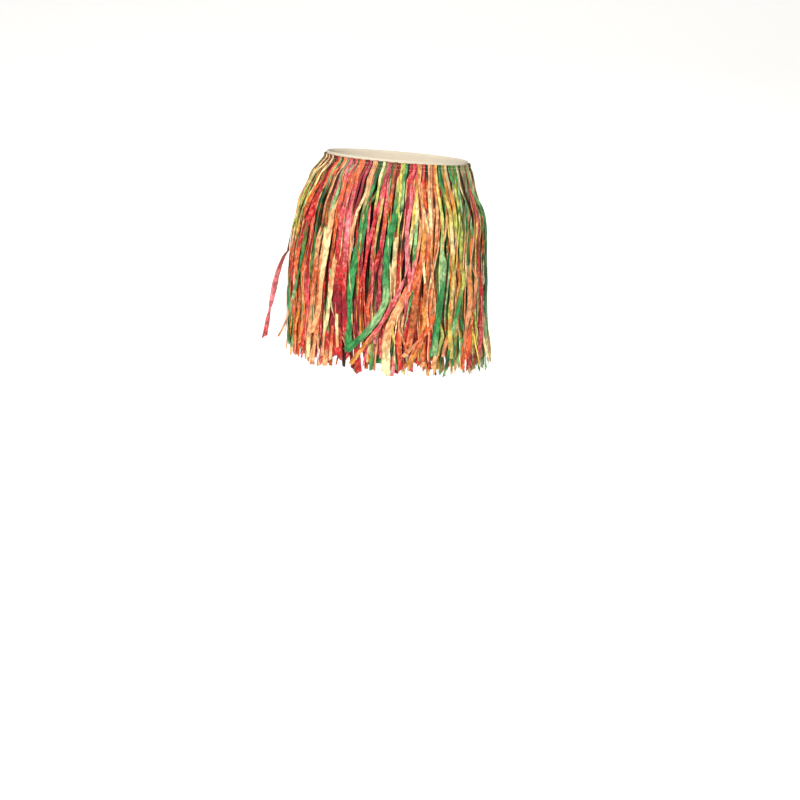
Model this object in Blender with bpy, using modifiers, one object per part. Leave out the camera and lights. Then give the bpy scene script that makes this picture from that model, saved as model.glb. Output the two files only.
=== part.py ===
# Grass skirt: an elastic waist with dyed raffia strips sewn on it in three rows.
# Metres, +Z up. The front faces -Y and the origin is the middle of the waist, where the wearer holds it.
import math
import random
from collections import namedtuple

import bmesh
import bpy
from mathutils import Vector

MM = 0.001
SEED = "raffia"

# Waist. The hips lean, so the waist is higher on the left of the picture.
ELASTIC_HALF_WIDTH = 141 * MM
ELASTIC_HALF_DEPTH = 101 * MM
ELASTIC_HEIGHT = 24 * MM
ELASTIC_THICKNESS = 1.4 * MM
ELASTIC_FACETS = 96
WAIST_LEAN = math.tan(math.radians(4.7))

# Heading: the sewn band of strip heads, which leaves the top of the elastic bare.
ELASTIC_SHOWN = 5 * MM
HEADING_THICKNESS = 1.5 * MM
HEADING_TOP = ELASTIC_HEIGHT / 2 - ELASTIC_SHOWN
HEADING_FOOT = -ELASTIC_HEIGHT / 2
ROW_GAP = 0.4 * MM
SEAM_GAP = 0.3 * MM
SECTORS = 8

# Strips
STRIP_THICKNESS = 1.0 * MM
ROOT_SHARE = 0.86
LEAST_GAP = 0.9 * MM
DIAGONAL_ROOM = 1.12
TWIST_REACH = 2.0 * MM
WAVE_REACH = 0.6 * MM
WAVE_LENGTH = 345 * MM
LAST_RUN = 12 * MM
CUT_SLANT = 0.45
OPEN_AFTER = 36 * MM
HANG_AFTER = 90 * MM
LOOSE_HANG_AFTER = 75 * MM
MIDDLE_POINT = 190 * MM
WALK_STEP = 4 * MM
SETTLE_ROUNDS = 60

# The surface that the innermost strips follow, over general hips, in millimetres below the waist's middle.
Section = namedtuple("Section", "drop half_width half_depth centre_x centre_y")
SECTIONS = (
    Section(0, 141, 101, 0, 0),
    Section(12, 149, 105, -3, 1),
    Section(24, 155, 109, -7, 2),
    Section(45, 157, 114, -10, 3),
    Section(70, 160, 118, -12, 5),
    Section(100, 166, 122, -13, 7),
    Section(140, 173, 126, -15, 10),
    Section(190, 178, 128, -18, 11),
    Section(300, 180, 129, -20, 10),
    Section(450, 190, 135, -19, 9),
)

# One row of strips: how many, where it hangs outside the innermost surface, and its stations in millimetres.
Row = namedtuple("Row", "name strips hang stations narrow wide")
INNER_STATIONS = (35, 80, 130, 190, 300, 430)
OUTER_STATIONS = (35, 80, 130, 190, 250, 310, 365, 430)
ROWS = (
    Row("under", 48, 0, INNER_STATIONS, 9, 16),
    Row("middle", 64, 6.5, INNER_STATIONS, 7, 14),
    Row("outer", 96, 13, OUTER_STATIONS, 5, 12),
)
LOOSE_HANG = 19.5
LOOSE_TURN_FROM = 150 * MM
LOOSE_TURN_TO = 225 * MM
OVER_LIFT = 4
SHORTEST_CUT = 346 * MM
LONGEST_CUT = 396 * MM

# Broad sweeps and close bunches of strips: waves round the skirt, with their swing in degrees at the hem.
Wave = namedtuple("Wave", "count swing phase")
WAVES = (Wave(2, 3.0, 0.6), Wave(5, 2.6, 2.1), Wave(9, 2.2, 4.0), Wave(17, 1.3, 1.3), Wave(29, 0.8, 5.2))
OWN_SWING = 1.6
SWING_GROWTH = 1.2
LIFT_GROWTH = 0.6
NARROWER_MORE_OFTEN = 1.6
TURNED_HIP = math.radians(75)
TURNED_HIP_SPREAD = math.radians(48)
TURNED_HIP_SWING = math.radians(-12)

# The loose strips that cross the others, from the back, round the left of the picture, to the front and on.
# Swings are in whole degrees round the skirt at each outer station, estimated by eye. Lifts, width and cut
# are in millimetres, and turned is how far the loose end turns about its own length, in degrees. Strips
# whose middle lift is OVER_LIFT or more cross over the other loose ones.
Loose = namedtuple("Loose", "swings middle_lift tip_lift turned width cut")
LOOSE_STRIPS = (
    Loose((0, 1, 2, 4, 6, 7, 8, 9), 0, 2, 0, 8, 375),
    Loose((0, -1, -2, -3, -5, -7, -8, -8), 0, 4, 0, 7, 365),
    Loose((0, 0, 1, 2, 3, 4, 6, 8), 0, 3, 0, 11, 385),
    Loose((0, 2, 4, 5, 3, -1, -4, -5), 0, 5, 0, 6, 370),
    Loose((0, -1, -2, -4, -6, -8, -10, -10), 2, 7, 0, 8, 380),
    Loose((0, -1, -1, -2, -3, -6, -9, -11), 1, 9, 0, 7, 365),
    Loose((0, 1, 2, 3, 4, 4, 5, 5), 0, 3, 0, 9, 380),
    Loose((0, 1, 2, 2, 1, 0, -1, -2), 1, 9, 0, 6, 360),
    Loose((0, -1, -2, -2, -1, 0, 0, 0), 0, 2, 0, 9, 370),
    Loose((0, -5, -11, -16, -17, -17, -17, -17), 6, 50, 65, 11, 366),
    Loose((1, 1, -3, -6, -7, -6, -4, 0), 1, 3, 0, 10, 385),
    Loose((-1, -5, -4, -2, -1, -2, -6, -6), 0, 3, 0, 9, 370),
    Loose((-1, 0, -1, -2, -3, -4, -6, -5), 0, 2, 0, 11, 395),
    Loose((-1, -2, -1, -1, -1, 0, 1, 1), 1, 3, 0, 19, 370),
    Loose((1, 1, 0, -3, -5, -5, -4, -4), 0, 3, 0, 15, 355),
    Loose((0, -3, -6, -8, -11, -13, -13, -13), 0, 2, 0, 8, 395),
    Loose((-1, -3, -6, -7, -7, -16, -32, -32), 4, 8, 0, 13, 350),
    Loose((-1, -6, -7, -7, -14, -25, -38, -60), 4, 9, 0, 8, 368),
    Loose((0, -3, -5, -11, -21, -28, -29, -29), 0, 4, 0, 17, 388),
    Loose((-1, -2, -1, 0, -1, -2, -3, -3), 1, 4, 0, 10, 360),
    Loose((1, -1, -3, -4, -7, -9, -11, -12), 0, 3, 0, 10, 375),
    Loose((-1, -10, -10, -8, -7, -11, -14, -15), 0, 2, 0, 13, 384),
    Loose((-1, -9, -10, -8, -6, -5, -11, -12), 0, 3, 0, 12, 372),
    Loose((-1, -9, -8, -7, -7, -8, -12, -14), 1, 4, 0, 13, 394),
    Loose((-1, -7, -9, -8, -8, -8, -9, -9), 0, 4, 0, 12, 386),
    Loose((-1, -5, -9, -10, -10, -10, -10, -10), 2, 8, 0, 8, 394),
    Loose((-1, -4, -8, -11, -12, -13, -14, -14), 0, 4, 0, 8, 370),
    Loose((0, -2, -4, -6, -6, -5, -3, -1), 0, 3, 0, 10, 380),
    Loose((0, 1, 2, 3, 5, 7, 8, 8), 0, 2, 0, 7, 360),
    Loose((0, -1, -2, -3, -3, -2, 0, 1), 0, 6, 0, 9, 385),
    Loose((0, -2, -3, -4, -5, -6, -7, -8), 0, 3, 0, 12, 370),
    Loose((0, 1, 2, 2, 1, -1, -3, -4), 0, 2, 0, 7, 380),
)
LOOSE_EVERY = 3

# Colours, as linear red, green and blue
CREAM = (0.80, 0.72, 0.58)
DYES = {
    "red": (0.62, 0.03, 0.03),
    "pink": (0.75, 0.10, 0.14),
    "orange": (0.75, 0.18, 0.03),
    "peach": (0.80, 0.38, 0.20),
    "yellow": (0.75, 0.50, 0.09),
    "lime": (0.42, 0.55, 0.16),
    "green": (0.04, 0.30, 0.08),
    "jade": (0.20, 0.48, 0.22),
}
# One dye for each sector of a row, from the back round the left of the picture.
SECTOR_DYES = {
    "under": ("orange", "red", "pink", "red", "peach", "green", "jade", "yellow"),
    "middle": ("green", "peach", "orange", "pink", "red", "jade", "yellow", "lime"),
    "outer": ("yellow", "lime", "red", "pink", "orange", "yellow", "green", "peach"),
}

Strip = namedtuple("Strip", "bearing loose width cut slant hang hang_after place twist")


def smooth(share):
    """0 to 1 with level ends."""
    share = min(max(share, 0.0), 1.0)
    return share * share * (3 - 2 * share)


def section_at(drop):
    """Half width, half depth and centre of the innermost surface, smoothly through SECTIONS, in metres."""
    drop = min(max(drop / MM, SECTIONS[0].drop), SECTIONS[-1].drop)
    last = len(SECTIONS) - 1
    i = max(k for k in range(last) if SECTIONS[k].drop <= drop)
    low, high = SECTIONS[i], SECTIONS[i + 1]
    before, after = SECTIONS[max(i - 1, 0)], SECTIONS[min(i + 2, last)]
    span = high.drop - low.drop
    t = (drop - low.drop) / span
    values = []
    for column in range(1, len(low)):
        slope_low = (high[column] - before[column]) / (high.drop - before.drop)
        slope_high = (after[column] - low[column]) / (after.drop - low.drop)
        value = (2 * t**3 - 3 * t**2 + 1) * low[column] + (3 * t**2 - 2 * t**3) * high[column]
        value += (t**3 - 2 * t**2 + t) * span * slope_low + (t**3 - t**2) * span * slope_high
        values.append(value * MM)
    return values


def surface_point(bearing, drop, outside):
    """A point on the skirt's surface, moved outside. Bearing 0 is the front and +90 degrees is +X."""
    half_width, half_depth, centre_x, centre_y = section_at(drop)
    x = centre_x + (half_width + outside) * math.sin(bearing)
    y = centre_y - (half_depth + outside) * math.cos(bearing)
    return Vector((x, y, -drop))


def outward(bearing, drop):
    """The level direction out of the skirt."""
    half_width, half_depth, _, _ = section_at(drop)
    return Vector((half_depth * math.sin(bearing), -half_width * math.cos(bearing), 0)).normalized()


def waist_lift(bearing):
    """How far the leaning waist raises what is sewn on at that bearing."""
    return -WAIST_LEAN * ELASTIC_HALF_WIDTH * math.sin(bearing)


def distance_per_radian(bearing, drop):
    half_width, half_depth, _, _ = section_at(drop)
    return math.hypot(half_width * math.cos(bearing), half_depth * math.sin(bearing))


def drop_along(bearing, length):
    """The drop that a strip reaches after that length of it has followed the hips down from the heading."""
    drop, walked = -HEADING_FOOT, 0.0
    while walked < length:
        step = (surface_point(bearing, drop + WALK_STEP, 0) - surface_point(bearing, drop, 0)).length
        drop += WALK_STEP * min(1.0, (length - walked) / step)
        walked += step
    return drop


def dense_swing(bearing, along, draw):
    """How far a strip of the full rows hangs from straight under its root, in radians round the skirt."""
    share = along / LONGEST_CUT
    swing = sum(math.radians(w.swing) * math.sin(w.count * bearing + w.phase) for w in WAVES)
    own = math.radians(OWN_SWING) * draw
    turned = TURNED_HIP_SWING * math.exp(-(((bearing - TURNED_HIP) / TURNED_HIP_SPREAD) ** 2))
    return (swing + own) * share**SWING_GROWTH + turned * smooth(along / MIDDLE_POINT)


def past_middle(loose, along):
    """0 at the middle point of a loose strip, 1 at its cut end."""
    return (along - MIDDLE_POINT) / (loose.cut * MM - MIDDLE_POINT)


def lift_of(loose, along):
    """How far a loose strip flies out from the skirt."""
    if along <= MIDDLE_POINT:
        return loose.middle_lift * MM * smooth(along / MIDDLE_POINT)
    rise = min(past_middle(loose, along), 1.0) ** LIFT_GROWTH
    return (loose.middle_lift + (loose.tip_lift - loose.middle_lift) * rise) * MM


def settle(places, widths, drop):
    """Moves neighbours on one level apart until each strip clears the next."""
    count = len(places)
    for _ in range(SETTLE_ROUNDS):
        for i in range(count):
            j = (i + 1) % count
            turn = 2 * math.pi if j == 0 else 0.0
            middle = (places[i] + places[j] + turn) / 2
            room = (places[j] + turn - places[i]) * distance_per_radian(middle, drop)
            short = (widths[i] + widths[j]) / 2 * DIAGONAL_ROOM + LEAST_GAP - room
            if short > 0:
                move = short / 2 / distance_per_radian(middle, drop)
                places[i] -= move
                places[j] += move
    return places


def heading_offset(number):
    """The middle of a row's heading, outside the elastic."""
    return ROW_GAP + HEADING_THICKNESS / 2 + number * (HEADING_THICKNESS + ROW_GAP)


def root_width(row, bearing):
    return ROOT_SHARE * distance_per_radian(bearing, 0) * 2 * math.pi / row.strips


def strips_of(row):
    """Every strip of a row in order round the waist, with its bearing at each station."""
    made = []
    for i in range(row.strips):
        draw = random.Random(f"{SEED}-{row.name}-{i}")
        bearing = -math.pi + (i + 0.5) * 2 * math.pi / row.strips
        width = (row.narrow + (row.wide - row.narrow) * draw.random() ** NARROWER_MORE_OFTEN) * MM
        cut = draw.uniform(SHORTEST_CUT, LONGEST_CUT)
        slant = draw.uniform(-CUT_SLANT, CUT_SLANT)
        own = draw.uniform(-1, 1)
        twist = [draw.uniform(-1, 1) for _ in row.stations]
        if row.name == "outer" and i % LOOSE_EVERY == 1:
            loose = LOOSE_STRIPS[i // LOOSE_EVERY]
            width, cut = loose.width * MM, loose.cut * MM
            hang, hang_after = LOOSE_HANG * MM, LOOSE_HANG_AFTER
            place = [bearing + math.radians(swing) for swing in loose.swings]
        else:
            loose = None
            hang, hang_after = row.hang * MM, HANG_AFTER
            place = [bearing + dense_swing(bearing, s * MM, own) for s in row.stations]
        made.append(Strip(bearing, loose, width, cut, slant, hang, hang_after, place, twist))
    for level in ("full", "loose", "over"):
        settle_group([strip for strip in made if level_of(strip) == level], row)
    return made


def level_of(strip):
    """Whether a strip hangs in its full row, loose over the row, or over the other loose strips."""
    if not strip.loose:
        return "full"
    return "over" if strip.loose.middle_lift >= OVER_LIFT else "loose"


def settle_group(group, row):
    """Parts the strips that hang at one distance out, at each station where they have opened out."""
    for k, station in enumerate(row.stations):
        if group and station * MM > OPEN_AFTER:
            drop = drop_along(0, station * MM)
            settled = settle([s.place[k] for s in group], [s.width for s in group], drop)
            for strip, place in zip(group, settled):
                strip.place[k] = place


def between(stations, values, first, along):
    """A value between the stations, from first at the root, on straight runs."""
    known = [0.0] + [s * MM for s in stations]
    values = [first] + list(values)
    i = max(k for k in range(len(known) - 1) if known[k] <= along)
    share = (along - known[i]) / (known[i + 1] - known[i])
    return values[i] + (values[i + 1] - values[i]) * share


def strip_point(row, number, strip, along):
    """The middle of a strip at a length from the heading, and its outward direction there."""
    bearing = between(row.stations, strip.place, strip.bearing, along)
    drop = drop_along(bearing, along)
    start = heading_offset(number)
    outside = start + (strip.hang - start) * smooth(along / strip.hang_after)
    wave = math.sin(2 * math.pi * along / WAVE_LENGTH + row.strips * strip.bearing)
    outside += WAVE_REACH * wave * smooth(along / HANG_AFTER)
    if strip.loose:
        outside += lift_of(strip.loose, along)
    point = surface_point(bearing, drop, outside)
    point.z += waist_lift(strip.bearing)
    return point, outward(bearing, drop)


def strip_sections(row, number, strip):
    """The four corners of each section of a strip below its root, down to its cut end."""
    lengths = [s * MM for s in row.stations if s * MM < strip.cut - LAST_RUN] + [strip.cut]
    points = [strip_point(row, number, strip, along) for along in [0.0] + lengths]
    sections = []
    for i, length in enumerate(lengths):
        point, out = points[i + 1]
        ahead = points[min(i + 2, len(points) - 1)][0]
        along = (ahead - points[i][0]).normalized()
        out = (out - along * out.dot(along)).normalized()
        side = out.cross(along)
        width = root_width(row, strip.bearing) if length < OPEN_AFTER else strip.width
        turn = strip.twist[min(i, len(strip.twist) - 1)] * math.asin(TWIST_REACH / strip.width)
        turn *= smooth(length / HANG_AFTER)
        if strip.loose:
            turned = smooth((length - LOOSE_TURN_FROM) / (LOOSE_TURN_TO - LOOSE_TURN_FROM))
            turn += math.radians(strip.loose.turned) * turned
        flat = (side * math.cos(turn) + out * math.sin(turn)) * width / 2
        thick = (out * math.cos(turn) - side * math.sin(turn)) * STRIP_THICKNESS / 2
        if length == strip.cut:
            point, flat = point - along * width * CUT_SLANT / 2, flat + along * width * strip.slant
        left, right = point - flat, point + flat
        sections.append([left - thick, left + thick, right + thick, right - thick])
    return sections


def extrude_to(bm, face, corners, points):
    """Extrudes a face and puts its corners, in order, at these points. Returns the new face and corners.

    The corners run inner, outer, outer, inner. Both wide faces are split along the same diagonal, which
    keeps a thin strip's thickness where it twists."""
    order = [corners.index(vert) for vert in face.verts]
    new_face = bmesh.ops.extrude_discrete_faces(bm, faces=[face])["faces"][0]
    moved = [None] * len(corners)
    for vert, i in zip(new_face.verts, order):
        vert.co = points[i]
        moved[i] = vert
    for i, j in ((1, 2), (0, 3)):
        wide = bm.faces.get((corners[i], corners[j], moved[j], moved[i]))
        bmesh.utils.face_split(wide, corners[i], moved[j])
    return new_face, moved


def heading_section(number, bearing):
    """The four corners of the heading's upright section at a bearing: foot, then top."""
    inner = heading_offset(number) - HEADING_THICKNESS / 2
    outer = inner + HEADING_THICKNESS
    corners = []
    for outside, height in (
        (inner, HEADING_FOOT),
        (outer, HEADING_FOOT),
        (outer, HEADING_TOP),
        (inner, HEADING_TOP),
    ):
        point = surface_point(bearing, max(-height, 0.0), outside)
        point.z = height + waist_lift(bearing)
        corners.append(point)
    return corners


def heading_edges(row, strips):
    """Bearings along a sector's heading: its start, both edges of each strip, and its end."""
    lane = 2 * math.pi / row.strips
    trim = SEAM_GAP / 2 / distance_per_radian(strips[0].bearing, 0)
    edges = [strips[0].bearing - lane / 2 + trim]
    for strip in strips:
        edges += [strip.bearing - ROOT_SHARE * lane / 2, strip.bearing + ROOT_SHARE * lane / 2]
    return edges + [strips[-1].bearing + lane / 2 - trim]


def fringe_sector(row, number, sector, strips, collection):
    """One sector of a row: a sewn heading with its strips grown out of its foot, as one body."""
    bm = bmesh.new()
    sections = [heading_section(number, bearing) for bearing in heading_edges(row, strips)]
    corners = [bm.verts.new(point) for point in sections[0]]
    face = bm.faces.new(corners)
    rings = [corners]
    for points in sections[1:]:
        face, corners = extrude_to(bm, face, corners, points)
        rings.append(corners)
    bm.faces.new(rings[0])
    for i, strip in enumerate(strips):
        left, right = rings[2 * i + 1], rings[2 * i + 2]
        corners = [left[0], left[1], right[1], right[0]]
        face = bm.faces.get(corners)
        for points in strip_sections(row, number, strip):
            face, corners = extrude_to(bm, face, corners, points)
    bmesh.ops.recalc_face_normals(bm, faces=bm.faces)
    name = f"{row.name}_strips_{sector + 1}"
    return finished(name, bm, DYES[SECTOR_DYES[row.name][sector]], collection)


def waist_elastic(collection):
    """The bare elastic: an upright band round the waist with its thickness inwards."""
    bm = bmesh.new()
    bmesh.ops.create_circle(bm, segments=ELASTIC_FACETS, radius=1.0)
    made = bmesh.ops.extrude_edge_only(bm, edges=bm.edges[:])["geom"]
    upper = {g for g in made if isinstance(g, bmesh.types.BMVert)}
    for vert in bm.verts:
        bearing = math.atan2(vert.co.x, -vert.co.y)
        point = surface_point(bearing, 0, 0)
        point.z = waist_lift(bearing) + (ELASTIC_HEIGHT / 2 if vert in upper else -ELASTIC_HEIGHT / 2)
        vert.co = point
    bmesh.ops.recalc_face_normals(bm, faces=bm.faces)
    band = finished("waist_elastic", bm, CREAM, collection)
    wall = band.modifiers.new("Wall", "SOLIDIFY")
    wall.thickness = ELASTIC_THICKNESS
    wall.offset = -1
    wall.use_even_offset = True
    return band


def cloth_material(name, colour):
    material = bpy.data.materials.new(name)
    material.use_nodes = True
    shader = material.node_tree.nodes["Principled BSDF"]
    shader.inputs["Base Color"].default_value = (*colour, 1.0)
    shader.inputs["Roughness"].default_value = 0.55
    shader.inputs["Metallic"].default_value = 0.0
    return material


def finished(name, bm, colour, collection):
    """Makes the object of a finished bmesh, with its own material."""
    mesh = bpy.data.meshes.new(name)
    bm.to_mesh(mesh)
    bm.free()
    mesh.materials.append(cloth_material(name, colour))
    made = bpy.data.objects.new(name, mesh)
    collection.objects.link(made)
    return made


def main():
    for old in list(bpy.data.objects):
        bpy.data.objects.remove(old)
    collection = bpy.data.collections.new("grass_skirt")
    bpy.context.scene.collection.children.link(collection)
    waist_elastic(collection)
    for number, row in enumerate(ROWS):
        strips = strips_of(row)
        share = row.strips // SECTORS
        for sector in range(SECTORS):
            own = strips[sector * share : (sector + 1) * share]
            fringe_sector(row, number, sector, own, collection)


main()
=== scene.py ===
import math
import random
from collections import namedtuple

import bmesh
import bpy
import numpy as np
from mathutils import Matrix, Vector


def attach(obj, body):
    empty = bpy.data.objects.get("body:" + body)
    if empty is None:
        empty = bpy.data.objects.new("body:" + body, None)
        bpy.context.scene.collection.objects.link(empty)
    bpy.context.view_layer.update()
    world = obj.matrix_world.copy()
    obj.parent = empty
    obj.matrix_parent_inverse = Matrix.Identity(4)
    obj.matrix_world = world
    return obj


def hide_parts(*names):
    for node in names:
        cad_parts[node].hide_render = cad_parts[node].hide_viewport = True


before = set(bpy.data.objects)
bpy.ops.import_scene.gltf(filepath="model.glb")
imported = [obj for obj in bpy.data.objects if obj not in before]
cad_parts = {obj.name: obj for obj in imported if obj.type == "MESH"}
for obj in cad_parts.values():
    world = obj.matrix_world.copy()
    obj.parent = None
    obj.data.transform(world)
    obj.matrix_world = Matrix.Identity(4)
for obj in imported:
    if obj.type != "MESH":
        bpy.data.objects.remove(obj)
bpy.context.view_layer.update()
MM = 0.001

# %% [markdown]
# ## Where the strips hang
# The skirt is worn, so its strips follow leaning hips. The surface under the innermost strips is an oval
# at each height, and a short table gives the ovals from the waist down. A smooth curve through the table
# gives every height between. Bearings go round the skirt: 0 is the front and 90 degrees is +X.
# %% The hips' surface
Section = namedtuple("Section", "drop half_width half_depth centre_x centre_y")
SECTIONS = (
    Section(0, 141, 101, 0, 0),
    Section(12, 149, 105, -3, 1),
    Section(24, 155, 109, -7, 2),
    Section(45, 157, 114, -10, 3),
    Section(70, 160, 118, -12, 5),
    Section(100, 166, 122, -13, 7),
    Section(140, 173, 126, -15, 10),
    Section(190, 178, 128, -18, 11),
    Section(300, 180, 129, -20, 10),
    Section(450, 190, 135, -19, 9),
)
ELASTIC_HALF_WIDTH = 141 * MM
ELASTIC_HALF_DEPTH = 101 * MM
WAIST_LEAN = math.tan(math.radians(4.7))
HEADING_TOP = 7 * MM
HEADING_FOOT = -12 * MM


def smooth(share):
    """0 to 1 with level ends."""
    share = np.clip(share, 0.0, 1.0)
    return share * share * (3 - 2 * share)


def curve_through(known, values, wanted):
    """Smooth values at the wanted places, on a curve through the known ones."""
    known, values = np.asarray(known, float), np.asarray(values, float)
    slopes = np.gradient(values, known)
    i = np.clip(np.searchsorted(known, wanted, side="right") - 1, 0, len(known) - 2)
    span = known[i + 1] - known[i]
    t = (np.clip(wanted, known[0], known[-1]) - known[i]) / span
    rise = (2 * t**3 - 3 * t**2 + 1) * values[i] + (3 * t**2 - 2 * t**3) * values[i + 1]
    return rise + ((t**3 - 2 * t**2 + t) * slopes[i] + (t**3 - t**2) * slopes[i + 1]) * span


DROPS = np.arange(0, 480, 2) * MM
HIPS = [
    curve_through([s.drop for s in SECTIONS], [s[column] for s in SECTIONS], DROPS / MM) * MM
    for column in range(1, 5)
]


def hips_at(drop):
    """Half width, half depth and centre of the innermost surface at each drop."""
    return [np.interp(drop, DROPS, column) for column in HIPS]


def surface_points(bearing, drop, outside):
    """Points on the surface, moved outside by the given distance."""
    half_width, half_depth, centre_x, centre_y = hips_at(drop)
    x = centre_x + (half_width + outside) * np.sin(bearing)
    y = centre_y - (half_depth + outside) * np.cos(bearing)
    return np.stack([x, y, -drop], axis=-1)


def drops_along(bearing, length):
    """The drop that a strip reaches after that length of it has followed the hips down."""
    below = DROPS >= -HEADING_FOOT
    drop = DROPS[below]
    rise, deep, shift_x, shift_y = (np.diff(column[below]) for column in HIPS)
    sine, cosine = np.sin(bearing)[:, None], np.cos(bearing)[:, None]
    step = np.sqrt(np.diff(drop) ** 2 + (rise * sine + shift_x) ** 2 + (shift_y - deep * cosine) ** 2)
    walked = np.concatenate([np.zeros((len(bearing), 1)), np.cumsum(step, axis=1)], axis=1)
    found = np.array([np.interp(l, w, drop) for l, w in zip(np.maximum(length, 0), walked)])
    return found + np.minimum(length, 0)


def waist_lift(bearing):
    """How far the leaning waist raises what is sewn on at that bearing."""
    return -WAIST_LEAN * ELASTIC_HALF_WIDTH * np.sin(bearing)


print("hips half width", round(float(hips_at(0.2)[0]) / MM), "mm at 200 mm down")

# %% [markdown]
# ## The rows of strips
# Three rows of strips are sewn on, one outside the other. Every third strip of the outer row swings loose
# over the rest. This is the same layout as in the measured model, so each strip lies on its solid. The
# loose strips have a row each in a table, because they are the ones that the eye picks out. Swings are in
# degrees round the skirt at each station, and lifts, widths and cuts in millimetres. The swings at the
# front began as places read off the photograph, which were worked into degrees, then rounded and adjusted.
# A helper script worked them into degrees, and they were then rounded and adjusted by hand. Those at the
# back are made up.
# %% Rows and loose strips
Row = namedtuple("Row", "name strips hang stations narrow wide")
INNER_STATIONS = (35, 80, 130, 190, 300, 430)
OUTER_STATIONS = (35, 80, 130, 190, 250, 310, 365, 430)
ROWS = (
    Row("under", 48, 0, INNER_STATIONS, 9, 16),
    Row("middle", 64, 6.5, INNER_STATIONS, 7, 14),
    Row("outer", 96, 13, OUTER_STATIONS, 5, 12),
)
SEED = "raffia"
SECTORS = 8
LOOSE_HANG = 19.5
LOOSE_TURN_FROM = 150 * MM
LOOSE_TURN_TO = 225 * MM
OVER_LIFT = 4
SHORTEST_CUT = 346 * MM
LONGEST_CUT = 396 * MM
LEAST_GAP = 0.9 * MM
DIAGONAL_ROOM = 1.12
WAVE_REACH = 0.6 * MM
WAVE_LENGTH = 345 * MM
CUT_SLANT = 0.45
OPEN_AFTER = 36 * MM
HANG_AFTER = 90 * MM
LOOSE_HANG_AFTER = 75 * MM
MIDDLE_POINT = 190 * MM
SETTLE_ROUNDS = 60
Wave = namedtuple("Wave", "count swing phase")
WAVES = (Wave(2, 3.0, 0.6), Wave(5, 2.6, 2.1), Wave(9, 2.2, 4.0), Wave(17, 1.3, 1.3), Wave(29, 0.8, 5.2))
OWN_SWING = 1.6
SWING_GROWTH = 1.2
LIFT_GROWTH = 0.6
NARROWER_MORE_OFTEN = 1.6
TURNED_HIP = math.radians(75)
TURNED_HIP_SPREAD = math.radians(48)
TURNED_HIP_SWING = math.radians(-12)
HEADING_THICKNESS = 1.5 * MM
ROW_GAP = 0.4 * MM
Loose = namedtuple("Loose", "swings middle_lift tip_lift turned width cut dyes")
LOOSE_STRIPS = (
    Loose((0, 1, 2, 4, 6, 7, 8, 9), 0, 2, 0, 8, 375, "leaf"),
    Loose((0, -1, -2, -3, -5, -7, -8, -8), 0, 4, 0, 7, 365, "rose"),
    Loose((0, 0, 1, 2, 3, 4, 6, 8), 0, 3, 0, 11, 385, "sun"),
    Loose((0, 2, 4, 5, 3, -1, -4, -5), 0, 5, 0, 6, 370, "ember"),
    Loose((0, -1, -2, -4, -6, -8, -10, -10), 2, 7, 0, 8, 380, "mint"),
    Loose((0, -1, -1, -2, -3, -6, -9, -11), 1, 9, 0, 7, 365, "melon"),
    Loose((0, 1, 2, 3, 4, 4, 5, 5), 0, 3, 0, 9, 380, "straw"),
    Loose((0, 1, 2, 2, 1, 0, -1, -2), 1, 9, 0, 6, 360, "shell"),
    Loose((0, -1, -2, -2, -1, 0, 0, 0), 0, 2, 0, 9, 370, "straw"),
    Loose((0, -5, -11, -16, -17, -17, -17, -17), 6, 50, 65, 11, 366, "cream lime lime pink pink rose"),
    Loose((1, 1, -3, -6, -7, -6, -4, 0), 1, 3, 0, 10, 385, "crimson red orange"),
    Loose((-1, -5, -4, -2, -1, -2, -6, -6), 0, 3, 0, 9, 370, "orange red rose red"),
    Loose((-1, 0, -1, -2, -3, -4, -6, -5), 0, 2, 0, 11, 395, "rose peach orange peach"),
    Loose((-1, -2, -1, -1, -1, 0, 1, 1), 1, 3, 0, 19, 370, "orange rose red crimson red"),
    Loose((1, 1, 0, -3, -5, -5, -4, -4), 0, 3, 0, 15, 355, "peach green green green"),
    Loose((0, -3, -6, -8, -11, -13, -13, -13), 0, 2, 0, 8, 395, "berry rose red crimson red"),
    Loose((-1, -3, -6, -7, -7, -16, -32, -32), 4, 8, 0, 13, 350, "lime green green mint green"),
    Loose((-1, -6, -7, -7, -14, -25, -38, -60), 4, 9, 0, 8, 368, "rose pink pink rose amber"),
    Loose((0, -3, -5, -11, -21, -28, -29, -29), 0, 4, 0, 17, 388, "peach peach orange peach cream"),
    Loose((-1, -2, -1, 0, -1, -2, -3, -3), 1, 4, 0, 10, 360, "amber yellow lime yellow"),
    Loose((1, -1, -3, -4, -7, -9, -11, -12), 0, 3, 0, 10, 375, "green lime amber green"),
    Loose((-1, -10, -10, -8, -7, -11, -14, -15), 0, 2, 0, 13, 384, "sage green peach orange"),
    Loose((-1, -9, -10, -8, -6, -5, -11, -12), 0, 3, 0, 12, 372, "cream peach red rose"),
    Loose((-1, -9, -8, -7, -7, -8, -12, -14), 1, 4, 0, 13, 394, "lime green green mint"),
    Loose((-1, -7, -9, -8, -8, -8, -9, -9), 0, 4, 0, 12, 386, "mint green cream"),
    Loose((-1, -5, -9, -10, -10, -10, -10, -10), 2, 8, 0, 8, 394, "straw"),
    Loose((-1, -4, -8, -11, -12, -13, -14, -14), 0, 4, 0, 8, 370, "rose"),
    Loose((0, -2, -4, -6, -6, -5, -3, -1), 0, 3, 0, 10, 380, "leaf"),
    Loose((0, 1, 2, 3, 5, 7, 8, 8), 0, 2, 0, 7, 360, "sun"),
    Loose((0, -1, -2, -3, -3, -2, 0, 1), 0, 6, 0, 9, 385, "ember"),
    Loose((0, -2, -3, -4, -5, -6, -7, -8), 0, 3, 0, 12, 370, "meadow"),
    Loose((0, 1, 2, 2, 1, -1, -3, -4), 0, 2, 0, 7, 380, "melon"),
)
LOOSE_EVERY = 3
Strip = namedtuple("Strip", "bearing loose width cut slant hang hang_after place")


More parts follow.
